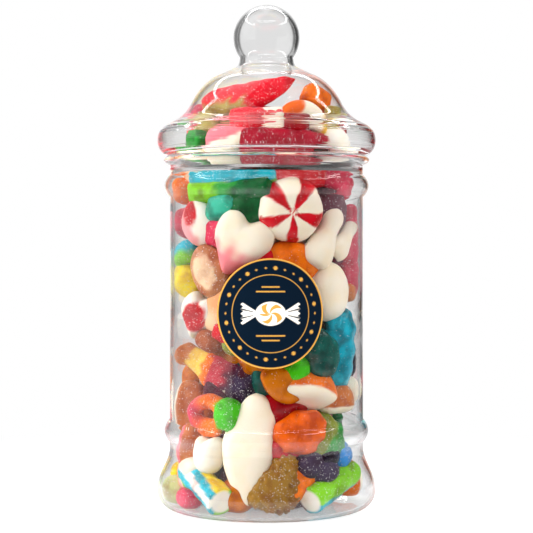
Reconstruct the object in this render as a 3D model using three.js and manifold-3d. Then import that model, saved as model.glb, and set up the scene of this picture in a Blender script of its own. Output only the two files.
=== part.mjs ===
// A lidded jar of jelly sweets: a clear turned jar, a clear domed lid with a ball knob, a round label on the
// jar's front, and the heap of sweets inside. Millimetres, +Z up, the jar standing on z = 0 with its front at -Y.
import * as THREE from "three";
import { mergeVertices } from "three/addons/utils/BufferGeometryUtils.js";
import Module from "manifold-3d";

const { Vector2, Vector3 } = THREE;

// The jar.
const BODY_RADIUS = 44.3;
const JAR_WALL = 1.4;
const FOOT = { inner: 35.5, outer: 40, rise: 2.4, power: 2.4 };
const BULGE = { radius: 50.1, height: 9.6 };
const FLARE_TOP = 28;
const LOW_RING = { height: 35.6, half: 5.2, swell: 2.3 };
const SHOULDER_RING = { height: 147.6, half: 5.2, swell: 2.6 };
const LIP_RING = { height: 159.4, half: 2.4, swell: 2.9 };
const LIP_TOP = 161.2;
const LIP_EDGE_RADIUS = 45.6;

// The lid.
const LID_WALL = 1.6;
const LID_BASE = 161.6;
const LID_BEND_POINTS = [
  [46.4, LID_BASE], [48.7, 163.7], [49.9, 166.4], [50.1, 169.2], [49.2, 172.5], [46.4, 175.2], [42.0, 177.5],
  [38.4, 180.1], [35.5, 183.9], [33.1, 188.2], [29.8, 192.7], [25.2, 196.8], [18.6, 199.9], [13.9, 202.3],
];
const NECK_RADIUS = 12.2;
const KNOB = { radius: 15.2, height: 215.6 };
const SKIRT = { outer: 42.2, inner: 40.9, bottom: 153.4, shelf: 163.1 };

// The label, bent round the body.
const LABEL = { radius: 24, thick: 0.25, gap: 0.45, around: 2.3, height: 91 };

// The heap of sweets.
const SWEET_GAP = 0.7;
const CORE_POINTS = [[0, 6], [39, 6], [39, 19], [36, 30], [36, 158], [33, 173], [25, 182], [14, 188], [0, 190]];
const CORE_SIDES = 16;
const ROUND_SIDES = 24;
const EDGE_POWER = 0.55;
const PRESSES = 14;

const wasm = await Module();
wasm.setup();

const rad = THREE.MathUtils.degToRad;
const points2 = (pairs) => pairs.map(([x, y]) => new Vector2(x, y));

// ---- Closed meshes and joins -------------------------------------------------------------------------------

/** The closed mesh as a solid, with its faces turned outwards. */
function solidOf(geometry) {
  const bare = geometry.clone();
  bare.deleteAttribute("normal");
  bare.deleteAttribute("uv");
  const merged = mergeVertices(bare, 1e-4);
  const vertProperties = new Float32Array(merged.attributes.position.array);
  const corners = withoutSlivers(merged.index.array);
  const triVerts = new Uint32Array(signedVolume(vertProperties, corners) < 0 ? corners.reverse() : corners);
  return new wasm.Manifold(new wasm.Mesh({ numProp: 3, vertProperties, triVerts }));
}

/** The triangles whose three corners differ. */
function withoutSlivers(index) {
  const kept = [];
  for (let i = 0; i < index.length; i += 3) {
    const [a, b, c] = index.slice(i, i + 3);
    if (a !== b && b !== c && c !== a) kept.push(a, b, c);
  }
  return kept;
}

function signedVolume(positions, corners) {
  const corner = (i) => new Vector3().fromArray(positions, 3 * corners[i]);
  let sum = 0;
  for (let i = 0; i < corners.length; i += 3) {
    sum += corner(i).dot(corner(i + 1).cross(corner(i + 2)));
  }
  return sum / 6;
}

function geometryOf(solid) {
  const { vertProperties, triVerts } = solid.getMesh();
  const geometry = new THREE.BufferGeometry();
  geometry.setAttribute("position", new THREE.BufferAttribute(new Float32Array(vertProperties), 3));
  geometry.setIndex(new THREE.BufferAttribute(new Uint32Array(triVerts), 1));
  geometry.computeVertexNormals();
  return geometry;
}

/** A profile of radius and height turned about the z axis. */
function turned(profile, sides = ROUND_SIDES) {
  return new THREE.LatheGeometry(profile, sides).rotateX(Math.PI / 2);
}

/** A closed skin of rings of points between two end points. */
function skin(point, rings, sides) {
  const positions = [point(0, 0)];
  for (let ring = 1; ring < rings; ring += 1) {
    for (let side = 0; side < sides; side += 1) {
      positions.push(point(ring / rings, (2 * Math.PI * side) / sides));
    }
  }
  positions.push(point(1, 0));
  const last = positions.length - 1;
  const at = (ring, side) => 1 + (ring - 1) * sides + (side % sides);
  const corners = [];
  for (let side = 0; side < sides; side += 1) {
    corners.push(0, at(1, side), at(1, side + 1), last, at(rings - 1, side + 1), at(rings - 1, side));
    for (let ring = 1; ring < rings - 1; ring += 1) {
      corners.push(at(ring, side), at(ring + 1, side), at(ring + 1, side + 1));
      corners.push(at(ring, side), at(ring + 1, side + 1), at(ring, side + 1));
    }
  }
  const geometry = new THREE.BufferGeometry().setFromPoints(positions);
  geometry.setIndex(corners);
  return geometry;
}

// ---- Outlines of the jar and the lid -----------------------------------------------------------------------

/** A moulded ring: points on a low arch that stands proud of a base radius. */
function archedRing({ height, half, swell }, base, steps) {
  return Array.from({ length: steps + 1 }, (_, i) => {
    const across = (2 * i) / steps - 1;
    return new Vector2(base + swell * (1 - across * across), height + half * across);
  });
}

/** The rounded foot, from the flat ring it stands on up to the bulge. */
function footCurve(steps) {
  return Array.from({ length: steps + 1 }, (_, i) => {
    const turn = (i / steps) * (Math.PI / 2);
    const out = Math.sin(turn) ** (2 / FOOT.power);
    const down = Math.cos(turn) ** (2 / FOOT.power);
    return new Vector2(FOOT.outer + (BULGE.radius - FOOT.outer) * out, BULGE.height * (1 - down));
  });
}

/** The flare that runs from the bulge in to the body. */
function flareCurve(steps) {
  return Array.from({ length: steps }, (_, i) => {
    const along = (i + 1) / steps;
    const swell = (BULGE.radius - BODY_RADIUS) * (0.5 + 0.5 * Math.cos(Math.PI * along));
    return new Vector2(BODY_RADIUS + swell, THREE.MathUtils.lerp(BULGE.height, FLARE_TOP, along));
  });
}

/** The points moved sideways by a distance, to the left of the way they run. */
function offset(points, distance) {
  return points.map((point, i) => {
    const before = points[Math.max(i - 1, 0)];
    const after = points[Math.min(i + 1, points.length - 1)];
    const run = after.clone().sub(before).normalize();
    return new Vector2(point.x - run.y * distance, point.y + run.x * distance);
  });
}

const underside = points2([[0, FOOT.rise], [20, FOOT.rise], [32, 0.9], [FOOT.inner, 0]]);
const jarSide = [
  ...underside,
  ...footCurve(4),
  ...flareCurve(5),
  ...archedRing(LOW_RING, BODY_RADIUS, 4),
  ...archedRing(SHOULDER_RING, BODY_RADIUS, 4),
];
const mouthRadius = BODY_RADIUS - JAR_WALL;
const jarInside = offset(jarSide, JAR_WALL);
const lidBend = points2(LID_BEND_POINTS);
const neckBottom = new Vector2(NECK_RADIUS + 0.3, 204.6);

/** The knob's round, from the neck up to its top. */
function knobArc(radius, neckRadius, steps) {
  const start = Math.PI - Math.asin(neckRadius / radius);
  return Array.from({ length: steps + 1 }, (_, i) => {
    const angle = start * (1 - i / steps);
    return new Vector2(i === steps ? 0 : radius * Math.sin(angle), KNOB.height + radius * Math.cos(angle));
  });
}

function jarProfile() {
  const lip = archedRing(LIP_RING, BODY_RADIUS, 4).slice(0, -1);
  const mouth = points2([[LIP_EDGE_RADIUS, LIP_TOP], [mouthRadius, LIP_TOP]]);
  return [...jarSide, ...lip, ...mouth, ...jarInside.slice().reverse()];
}

const lidInnerBend = offset([...lidBend, neckBottom], LID_WALL);

function lidProfile() {
  const outside = [...lidBend, neckBottom, ...knobArc(KNOB.radius, NECK_RADIUS, 8)];
  const insideKnob = knobArc(KNOB.radius - LID_WALL, NECK_RADIUS - LID_WALL, 6).reverse();
  const insideDome = lidInnerBend.filter((point) => point.y > SKIRT.shelf + 1).reverse();
  const skirt = points2([
    [SKIRT.inner + 3, SKIRT.shelf],
    [SKIRT.inner, SKIRT.shelf],
    [SKIRT.inner, SKIRT.bottom],
    [SKIRT.outer, SKIRT.bottom],
    [SKIRT.outer, LID_BASE],
    LID_BEND_POINTS[0],
  ]);
  return [...outside, ...insideKnob, ...insideDome, ...skirt];
}

// ---- The label ---------------------------------------------------------------------------------------------

function labelGeometry() {
  const rings = 4;
  const sides = 24;
  const inner = BODY_RADIUS + LABEL.gap;
  const outer = inner + LABEL.thick;
  const point = (along, around) => {
    const back = along < 0.5;
    const reach = LABEL.radius * Math.min(1, 2 * (back ? along : 1 - along) * (rings / (rings - 1)));
    const radius = back ? inner : outer;
    const turn = rad(LABEL.around) + (reach * Math.sin(around)) / BODY_RADIUS;
    const height = LABEL.height + reach * Math.cos(around);
    return new Vector3(radius * Math.sin(turn), -radius * Math.cos(turn), height);
  };
  return skin(point, 2 * rings - 1, sides);
}

// ---- Forms of sweets ---------------------------------------------------------------------------------------
// Each sweet faces -Y: x runs to its right, z up and y into it. A form is a list of closed skins.

const oval = (a) => [Math.sin(a), Math.cos(a)];
const eggShape = (a) => [Math.sin(a) * (1 - 0.16 * Math.cos(a)), Math.cos(a)];
const blockShape = (a) => {
  const size = (Math.abs(Math.sin(a)) ** 4 + Math.abs(Math.cos(a)) ** 4) ** -0.25;
  return [size * Math.sin(a), size * Math.cos(a)];
};
const heartShape = (a) => {
  const height = 12.5 * Math.cos(a) - 3.2 * Math.cos(2 * a) - 1.3 * Math.cos(3 * a) - 0.4 * Math.cos(4 * a);
  return [Math.sin(a) * (0.4 + 0.6 * Math.sin(a) ** 2), (height + 2.3) / 12.5];
};
const toothShape = (a) => {
  const corner = Math.cos(a) > 0 ? 4 : 2.2;
  const size = (Math.abs(Math.sin(a)) ** corner + Math.abs(Math.cos(a)) ** corner) ** (-1 / corner);
  const notch = 1 - 0.28 * Math.exp(-((1 - Math.cos(a)) / 0.08));
  return [size * Math.sin(a), size * Math.cos(a) * notch];
};
const fanShape = (a) => [Math.sin(a) * (1 + 0.15 * Math.cos(a)), Math.cos(a)];
const shellShape = (a) => {
  const scallop = 1 + 0.07 * Math.cos(9 * a);
  return [scallop * Math.sin(a), scallop * Math.cos(a)];
};

/** A moulded sweet: an outline that swells to the front and, less, to the back. */
function pillow(wide, tall, thick, outline, rings = 4, sides = 8, frontShare = 0.62) {
  const point = (along, around) => {
    const tilt = (along - 0.5) * Math.PI;
    const reach = Math.cos(tilt) ** EDGE_POWER;
    const share = tilt > 0 ? frontShare : 1 - frontShare;
    const [x, z] = outline(around);
    return new Vector3((x * reach * wide) / 2, -Math.sin(tilt) * share * thick, (z * reach * tall) / 2);
  };
  return skin(point, rings, sides);
}

/** A long sweet along z: stations of [share of its length, half width, half depth, shift to the right]. */
function roll(long, stations, sides = 8) {
  const point = (along, around) => {
    const [share, wide, deep, shift = 0] = stations[Math.round(along * (stations.length - 1))];
    return new Vector3(shift + wide * Math.sin(around), -deep * Math.cos(around), (share - 0.5) * long);
  };
  return skin(point, stations.length - 1, sides);
}

/** A roll of one half width all along, with flat cut ends. */
const cutRoll = (long, half, bend = 0, sides = 8) =>
  roll(long, [[0, 0, 0], [0, half, half], [0.5, half, half, bend], [1, half, half], [1, 0, 0]], sides);

const moved = (geometry, x, y, z, turn = 0) => geometry.rotateY(rad(turn)).translate(x, y, z);

const FORMS = {
  heart: () => [pillow(27, 29, 13, heartShape, 4, 12)],
  smallHeart: () => [pillow(18, 21, 11, heartShape, 4, 10)],
  pinwheel: () => [pillow(28.5, 28.5, 12, oval, 4, 12)],
  egg: () => [pillow(20, 27, 14, eggShape, 4, 9)],
  ball: () => [pillow(17, 17, 13, oval)],
  dome: () => [pillow(25, 17, 15, oval, 4, 8, 0.3)],
  block: () => [pillow(17, 13, 11, blockShape, 4, 8)],
  tooth: () => [pillow(14, 18, 11, toothShape, 4, 10)],
  shell: () => [pillow(19, 17, 11, shellShape, 4, 9)],
  berry: () => [pillow(17, 13, 12, oval, 4, 8)],
  fan: () => [pillow(24, 18, 11, fanShape, 4, 9)],
  pencil: () => [cutRoll(29, 5.8, 0, 10)],
  longPencil: () => [cutRoll(45, 5.8, 1.5, 10)],
  bottle: () => [
    roll(42, [
      [0, 0, 0], [0.03, 6.5, 4], [0.12, 8.6, 5.4], [0.45, 9, 5.8], [0.6, 8, 5.4], [0.72, 5.2, 4.4],
      [0.82, 4.2, 3.8], [0.94, 4.5, 4], [1, 0, 0],
    ]),
  ],
  drop: () => [
    roll(50, [
      [0, 0, 0, -1], [0.04, 2.6, 2.4, -1], [0.15, 6.2, 4.6, -0.6], [0.31, 10, 6.4, -0.6], [0.47, 11.4, 6.8, -0.6],
      [0.63, 11.2, 6.8], [0.79, 9.2, 6.2, 2], [0.92, 5.8, 4.6, 2.8], [1, 0, 0, 2.8],
    ], 10),
  ],
  bone: () => [
    roll(28, [
      [0, 0, 0], [0.04, 4.8, 4], [0.18, 7.4, 5.6], [0.38, 6.2, 5.2], [0.62, 4.2, 4.2], [0.84, 4.6, 4.4],
      [0.96, 3, 3], [1, 0, 0],
    ]),
  ],
  worm: () => [
    roll(44, [
      [0, 0, 0], [0.03, 3.4, 3.2], [0.2, 4.6, 4.4, 1], [0.4, 4.6, 4.4, 0.4], [0.6, 4.6, 4.4, -1],
      [0.8, 4.6, 4.4, -0.4], [0.97, 3.4, 3.2], [1, 0, 0],
    ]),
  ],
  strawberry: () => [
    roll(42, [
      [0, 0, 0], [0.04, 5, 4.4], [0.2, 8, 6.4, 1.2], [0.45, 7.6, 6.4, 1.6], [0.7, 5.4, 5, 1], [0.9, 3, 3],
      [1, 0, 0],
    ]),
  ],
  crescent: () => [
    roll(22, [
      [0, 0, 0, 2], [0.08, 2.8, 3, 1.6], [0.35, 4.4, 4, -0.6], [0.65, 4.4, 4, -0.6], [0.92, 2.6, 3, 1.6],
      [1, 0, 0, 2],
    ]),
  ],
  lump: () => [
    roll(27, [
      [0, 0, 0, -1], [0.06, 7.5, 4.6, -1], [0.24, 10.5, 6.6, -0.5], [0.48, 9.6, 7, 0.4], [0.7, 7, 6, 1.4],
      [0.88, 4.8, 4.4, 1.6], [1, 0, 0, 1.6],
    ]),
  ],
  dummy: () => [
    new THREE.TorusGeometry(8, 3.5, 6, 10).scale(1, 0.8, 1).rotateX(Math.PI / 2),
    moved(pillow(11.5, 14.5, 11, oval, 4, 8, 0.5), 11.5, 0, 1),
  ],
  dolphin: () => [
    roll(35, [
      [0, 0, 0], [0.04, 4.6, 3.6], [0.25, 7.4, 5.4], [0.5, 7.8, 5.8, 0.5], [0.75, 8.4, 6, 0.5],
      [0.93, 4.6, 4.2, 2], [1, 0, 0, 2],
    ]),
    moved(roll(15, [[0, 0, 0], [0.15, 3.4, 3.4], [0.6, 3.6, 3.4], [0.9, 2.4, 2.6], [1, 0, 0]]), -5.5, 0, 11, -28),
  ],
  bear: () => [
    pillow(13, 18, 11, oval, 4, 6),
    moved(pillow(11, 10, 10, oval, 4, 6), 0, 0, 11.5),
    moved(pillow(6.5, 9, 9, oval, 4, 6), 5.6, -1, -7.5, -20),
    moved(pillow(6.5, 9, 9, oval, 4, 6), -5.6, -1, -7.5, 20),
  ],
};

// ---- Where the sweets lie ----------------------------------------------------------------------------------
// [form, degrees round the jar (0 at the front, + to the right), height, turn clockwise, lean of its top to the
// outside, swing, depth behind the wall, size]. Each is pressed out to the wall less its depth.

const FRONT_SWEETS = [
  // In the lid.
  ["strawberry", -27, 188, 70.5, -9, 20, 0, 1.03],
  ["block", 82, 187, 25, -12, -45, 0, 0.88],
  ["crescent", 37, 178.2, 112, -8, 0, 1, 1.12],
  ["ball", 76, 179, 0, 0, 0, 0, 0.55],
  ["berry", -76, 178.5, 30, -10, 0, 0, 0.8],
  ["egg", -60, 174.5, 70, 0, 0, 2, 0.6],
  ["egg", -30, 167, 84, 0, 0, 0, 0.85],
  ["shell", -62, 166, 30, 0, 0, 0, 0.9],
  ["strawberry", 15, 167, 88, 0, 0, 0, 1.02],
  ["ball", 66, 166, 0, 0, 0, 0, 1],
  // Under the rim.
  ["longPencil", -27, 151.8, 84.5, 0, 0, 0, 0.92],
  ["egg", -62, 157, 60, 0, 0, 0, 0.8],
  ["strawberry", 33, 152.5, 95, 0, 0, 2.2, 1.05],
  ["dome", 66, 149, 20, 0, 0, 0, 0.8],
  ["ball", -80, 146.5, 10, 0, 0, 0, 0.75],
  ["longPencil", -29, 146, 87, 0, 0, 2, 0.9],
  ["pinwheel", 17.5, 136.6, -4, 0, 0, 0, 1.02],
  ["egg", -58, 131.5, -12, 0, 32, 0, 0.85],
  ["ball", -88, 132, 0, 0, 0, 0, 0.9],
  ["heart", -20, 121, 28, 0, 0, 0, 1],
  ["block", -78, 116.5, -22, 0, 0, 0, 0.95],
  ["bone", 45, 124.5, 31, 0, 0, 0, 1.08],
  ["bone", 68, 123.5, 48, 0, -12, 0.5, 0.8],
  ["worm", 82, 118, 2, 0, 0, 0, 1],
  ["ball", -80, 105, 10, 0, 0, 0, 1.05],
  ["dome", -46, 109, 66, 0, 12, 2, 1.05],
  ["egg", 50, 100, 8, 0, 0, 0, 1.02],
  ["smallHeart", -58, 88.5, 18, 0, 28, 0, 1.02],
  ["ball", 74, 99, 0, 0, 0, 1, 0.55],
  // Below the label.
  ["dolphin", 63.5, 73.5, 4, 0, 0, 0, 1.08],
  ["egg", 84, 67, 0, 0, 0, 1, 0.65],
  ["egg", 40, 73, -24, 0, 0, 0, 0.95],
  ["bottle", -50, 62.8, -67, 0, 22, 0, 1.18],
  ["dome", 31.5, 54.4, 20, 54, -22, 0, 1.2],
  ["ball", 78, 54, 0, 0, 0, 0, 0.8],
  ["dome", 62, 48.5, 28, 84, -25, 0, 0.92],
  ["dome", -84, 46.5, 84, 0, -35, 0, 0.9],
  ["dummy", -46, 44.8, 0, 0, 4, 0, 1.03],
  ["fan", 24.5, 37.7, -14, 0, 0, 0, 1.05],
  ["shell", 45, 34, 58, 0, 0, 0.8, 1.3],
  ["drop", -12.5, 30.2, 0, -5, 4, 1, 1],
  ["tooth", -44, 27.5, 2, 0, 0, 0, 1],
  ["dome", -74, 28.5, 80, 0, -35, 0, 0.85],
  ["berry", 30, 23.6, -20, 0, 0, 0, 1],
  ["berry", 44, 26.5, -12, 0, 0, 0, 0.8],
  ["berry", 41, 20.8, -14, 0, 0, 0, 0.9],
  ["ball", 60, 26.5, 10, 0, 0, 0, 0.75],
  ["egg", -66, 18, 60, 0, 0, 2, 0.75],
  ["pencil", -47, 13.4, -72, 0, -13, 0, 1.1],
  ["pencil", 49, 13.5, 71, 0, 4, 0, 1.1],
  ["ball", -80, 9, 0, 0, 0, 0, 0.8],
  ["berry", -60, 7, 0, 0, 0, 1, 0.8],
  ["lump", 8, 16.5, 16, 0, 0, 0, 1.06],
];

const SIDE_ROWS = { first: 12, rise: 23.5, count: 7, from: 108, step: 36, perRow: 5 };
const SIDE_STRAY = { around: 5, height: 4, depth: 2, smallest: 0.86, growth: 0.2 };
const SIDE_FORMS = [
  "egg", "shell", "dome", "heart", "bear", "block", "berry", "bone", "pinwheel", "tooth", "ball", "pencil",
];
const SIDE_SEED = 20;
const TOP_SWEETS = { height: 172, from: 115, step: 43, count: 4, lean: -10, size: 0.9 };

/** Even draws between 0 and 1, the same each time. */
function drawsFrom(seed) {
  let state = seed;
  return () => {
    state = (Math.imul(state, 1664525) + 1013904223) >>> 0;
    return state / 2 ** 32;
  };
}

/** The rows of sweets round the sides and the back, where the front's own list doesn't reach. */
function sideSweets() {
  const draw = drawsFrom(SIDE_SEED);
  const stray = (range) => (draw() - 0.5) * range;
  const sweets = [];
  for (let row = 0; row < SIDE_ROWS.count; row += 1) {
    for (let place = 0; place < SIDE_ROWS.perRow - (row % 2); place += 1) {
      const form = SIDE_FORMS[Math.floor(draw() * SIDE_FORMS.length)];
      const around = SIDE_ROWS.from + SIDE_ROWS.step * (place + 0.5 * (row % 2)) + stray(SIDE_STRAY.around);
      const height = SIDE_ROWS.first + SIDE_ROWS.rise * row + stray(SIDE_STRAY.height);
      const turn = stray(180);
      const depth = draw() * SIDE_STRAY.depth;
      const size = SIDE_STRAY.smallest + draw() * SIDE_STRAY.growth;
      sweets.push([form, around, height, turn, 0, 0, depth, size]);
    }
  }
  for (let place = 0; place < TOP_SWEETS.count; place += 1) {
    const around = TOP_SWEETS.from + TOP_SWEETS.step * place;
    sweets.push(["egg", around, TOP_SWEETS.height, stray(180), TOP_SWEETS.lean, 0, 0, TOP_SWEETS.size]);
  }
  return sweets;
}

/** The room inside the jar and lid, as radius by height, going up. */
function roomPoints() {
  const jar = offset(jarSide.slice(2), JAR_WALL + SWEET_GAP).filter((point) => point.y < SKIRT.bottom - 1);
  const neck = SKIRT.inner - SWEET_GAP;
  const dome = offset([...lidBend, neckBottom], LID_WALL + SWEET_GAP).filter((point) => point.x < neck);
  return [...jar, new Vector2(neck, SKIRT.bottom - 1), ...dome.filter((point) => point.y > SKIRT.shelf)];
}

const room = roomPoints();

function roomRadius(height) {
  const above = room.findIndex((point) => point.y > height);
  if (above < 1) return above === 0 ? room[0].x : room[room.length - 1].x;
  const [low, high] = [room[above - 1], room[above]];
  return THREE.MathUtils.mapLinear(height, low.y, high.y, low.x, high.x);
}

/** How far the turned sweet has to come in, or may go out, to be its depth behind the wall. */
function reachPastWall(corners, shift, depth) {
  return Math.max(...corners.map((corner) => {
    const place = corner.clone().add(shift);
    return Math.hypot(place.x, place.y) - roomRadius(place.z) + depth;
  }));
}

/** One sweet in its place, as a list of closed meshes. */
function placed([form, around, height, turn, lean, swing, depth, size]) {
  const outward = new Vector3(Math.sin(rad(around)), -Math.cos(rad(around)), 0);
  const skins = FORMS[form]().map((geometry) =>
    geometry.scale(size, size, size).rotateY(rad(turn)).rotateX(rad(lean)).rotateZ(rad(around + swing)));
  const corners = skins.flatMap((geometry) => {
    const { position } = geometry.attributes;
    return Array.from({ length: position.count }, (_, i) => new Vector3().fromBufferAttribute(position, i));
  });
  const floor = room[0].y - Math.min(...corners.map((corner) => corner.z));
  const lift = Math.max(height, floor);
  let out = 0;
  for (let press = 0; press < PRESSES; press += 1) {
    const shift = outward.clone().multiplyScalar(out).setZ(lift);
    out -= reachPastWall(corners, shift, depth);
  }
  return skins.map((geometry) => geometry.translate(outward.x * out, outward.y * out, lift));
}

/** The heap: a core with every sweet fused on, and the largest body kept, so no scrap or sealed hollow is. */
function sweetsGeometry() {
  let heap = solidOf(turned(points2(CORE_POINTS), CORE_SIDES));
  for (const sweet of [...FRONT_SWEETS, ...sideSweets()]) {
    for (const part of placed(sweet)) heap = heap.add(solidOf(part));
  }
  const pieces = heap.decompose();
  return geometryOf(pieces.reduce((best, piece) => (piece.volume() > best.volume() ? piece : best)));
}

// ---- The object --------------------------------------------------------------------------------------------

const clearPlastic = () =>
  new THREE.MeshStandardMaterial({ color: 0xf2f5f6, roughness: 0.05, transparent: true, opacity: 0.3 });

const matte = (color, roughness) => new THREE.MeshStandardMaterial({ color, roughness });

function part(name, geometry, material) {
  const mesh = new THREE.Mesh(geometry, material);
  mesh.name = name;
  return mesh;
}

const jarOfSweets = new THREE.Group();
jarOfSweets.add(
  part("jar", geometryOf(solidOf(turned(jarProfile()))), clearPlastic()),
  part("lid", geometryOf(solidOf(turned(lidProfile()))), clearPlastic()),
  part("label", geometryOf(solidOf(labelGeometry())), matte(0x0b2138, 0.45)),
  part("sweets", sweetsGeometry(), matte(0xd9543f, 0.6)),
);

export default jarOfSweets;
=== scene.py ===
"""A lidded jar of jelly sweets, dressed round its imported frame.

Lengths are millimetres until a mesh is made. The jar's axis is z, and its front, with the label, faces -Y.
"""
import math
from types import SimpleNamespace as Sizes

import bpy
import numpy as np
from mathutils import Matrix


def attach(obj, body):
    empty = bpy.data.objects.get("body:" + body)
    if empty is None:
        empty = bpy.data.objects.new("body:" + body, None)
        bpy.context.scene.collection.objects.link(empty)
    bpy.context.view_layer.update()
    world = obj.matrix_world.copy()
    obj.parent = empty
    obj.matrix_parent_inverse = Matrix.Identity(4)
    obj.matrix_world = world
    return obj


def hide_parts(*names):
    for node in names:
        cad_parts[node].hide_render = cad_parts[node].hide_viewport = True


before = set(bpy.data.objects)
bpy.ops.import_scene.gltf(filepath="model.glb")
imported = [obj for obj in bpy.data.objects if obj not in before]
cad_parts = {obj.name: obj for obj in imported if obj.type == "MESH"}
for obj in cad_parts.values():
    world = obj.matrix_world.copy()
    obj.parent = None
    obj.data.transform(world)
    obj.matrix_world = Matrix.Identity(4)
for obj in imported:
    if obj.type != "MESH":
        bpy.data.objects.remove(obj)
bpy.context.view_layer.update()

MM = 0.001
TAU = 2 * math.pi

# The jar and the lid, as in the frame.
BODY_RADIUS = 44.3
JAR_WALL = 1.4
FOOT = Sizes(inner=35.5, outer=40, rise=2.4, power=2.4)
BULGE = Sizes(radius=50.1, height=9.6)
FLARE_TOP = 28
LOW_RING = Sizes(height=35.6, half=5.2, swell=2.3)
SHOULDER_RING = Sizes(height=147.6, half=5.2, swell=2.6)
LIP_RING = Sizes(height=159.4, half=2.4, swell=2.9)
LIP_TOP = 161.2
LIP_EDGE_RADIUS = 45.6
LID_WALL = 1.6
LID_BASE = 161.6
LID_BEND_POINTS = [
    (46.4, LID_BASE), (48.7, 163.7), (49.9, 166.4), (50.1, 169.2), (49.2, 172.5), (46.4, 175.2), (42.0, 177.5),
    (38.4, 180.1), (35.5, 183.9), (33.1, 188.2), (29.8, 192.7), (25.2, 196.8), (18.6, 199.9), (13.9, 202.3),
    (12.5, 204.6),
]
NECK_RADIUS = 12.2
KNOB = Sizes(radius=15.2, height=215.6)
SKIRT = Sizes(outer=42.2, inner=40.9, bottom=153.4, shelf=163.1)
ROUND_SIDES = 160
ON_AXIS = 1e-6

# The label, bent round the body, and the sizes of its print.
LABEL = Sizes(radius=24, inner=44.5, outer=44.9, around=2.3, height=91, rings=150, sides=300)
PRINT = Sizes(
    soft=0.18, border=23.35, ring=16.9, ring_half=0.16,
    dots=30, dot_ring=19.9, large_dot=0.85, small_dot=0.42,
    body_wide=6.6, body_tall=5.2, end_from=6.2, end_to=12.4,
    lines=[(9.6, 6.0), (11.6, 3.6)], line_half=0.3,
)

# The sweets: their gap to the wall, a moulded one's share of thickness in front and how square its edge is, a cut
# rope's half width and its core's, the steps that press a sweet to the wall, and the waves in an uneven surface.
SWEET_GAP = 0.35
FRONT_SHARE = 0.62
EDGE_POWER = 0.55
ROPE_HALF = 5.8
ROPE_CORE = 0.78 * ROPE_HALF
PRESSES = 10
WAVES = 7

# The heap's core, which lies behind the sweets that show and is dark with painted shade, as in the shadow inside
# the heap, and the grains of sugar.
CORE_OUTLINE = [(0, 5), (31, 5.5), (33, 14), (30, 30), (30, 160), (24, 171), (14, 177), (0, 179)]
CORE_SIDES = 96
CORE_PAINTED_SHADE = 0.35
CORE_TONES = ["deep_red", "orange", "dark_green", "plum", "peach", "crimson", "gold_brown", "deep_teal"]
GRAINS = Sizes(per_mm2=0.22, size=0.2, seed=3, deepest=12)

# The camera, in metres.
CAMERA_DISTANCE = 0.759
CAMERA_HEIGHT = 0.1264
CAMERA_LENS = 111.4
CAMERA_SHIFT = -0.0647

# The lamps, in metres: azimuth and elevation, distance, width and height, power. They face the jar's middle.
LAMP_AIM = 0.12
LAMPS = {
    "left_softbox": (-78, 14, 1.0, (1.3, 1.1), 20),
    "right_softbox": (78, 14, 1.0, (1.3, 1.1), 6),
    "top_softbox": (150, 62, 1.1, (0.9, 0.6), 5),
}

# What the plastic mirrors and bends: bright strips overhead, by the ray's rise, and dark strips all round.
HIGH_STRIP = (0.8, 0.835)
LOWER_STRIP = (0.63, 0.665)
STRIP_EDGE = 0.01
STRIP_GLOW = 8
DARK_STRIPS = 8.0

# The floor.
FLOOR_RADII = [0, 60, 120, 300, 1500]
FLOOR_TOP = -0.2
FLOOR_UNDER = -6
FLOOR_SIDES = 96


# ---- Colours

PALETTE = dict(entry.split(":") for entry in """
    cream:FBEEDA white_cream:FDF6EA pale_pink:F88C94 pink:F47C88 rose:DE3A5C red:D8001A strawberry:F0102C
    deep_red:A00010 crimson:B00028 magenta:B8184E orange:FA7A04 deep_orange:EC640C amber:D07400 gold:F0C650
    yellow:FFE600 peach:EAA878 brown_orange:D07838 brown:A8582C lime:88D818 bright_green:48C810 green:2C9A38
    dark_green:045C28 teal:00B4CC deep_teal:025A50 cyan:08BCD0 sea_green:3CB496 blue:3494E4 slate:6A3C4A
    purple:463652 dark_purple:1E0C24 plum:5A1430 olive:8A9430 leaf:B8A850 gold_brown:A0762A navy:041728
    label_gold:D9A047 pale_green:D8E49C pale_peach:F6D2AC raspberry:C83848 tan:C8865C
""".split())


def colour(name):
    """The named colour as linear red, green and blue."""
    channels = [int(PALETTE[name][i:i + 2], 16) / 255 for i in (0, 2, 4)]
    return np.array([c / 12.92 if c <= 0.04045 else ((c + 0.055) / 1.055) ** 2.4 for c in channels])


def smooth(low, high, value):
    """A soft step from 0 at low to 1 at high."""
    share = np.clip((value - low) / (high - low), 0, 1)
    return share * share * (3 - 2 * share)


def blend(first, second, share):
    """first where share is 0 and second where it is 1, point by point."""
    share = np.asarray(share)[:, None]
    return first * (1 - share) + second * share


# ---- Materials

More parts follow.
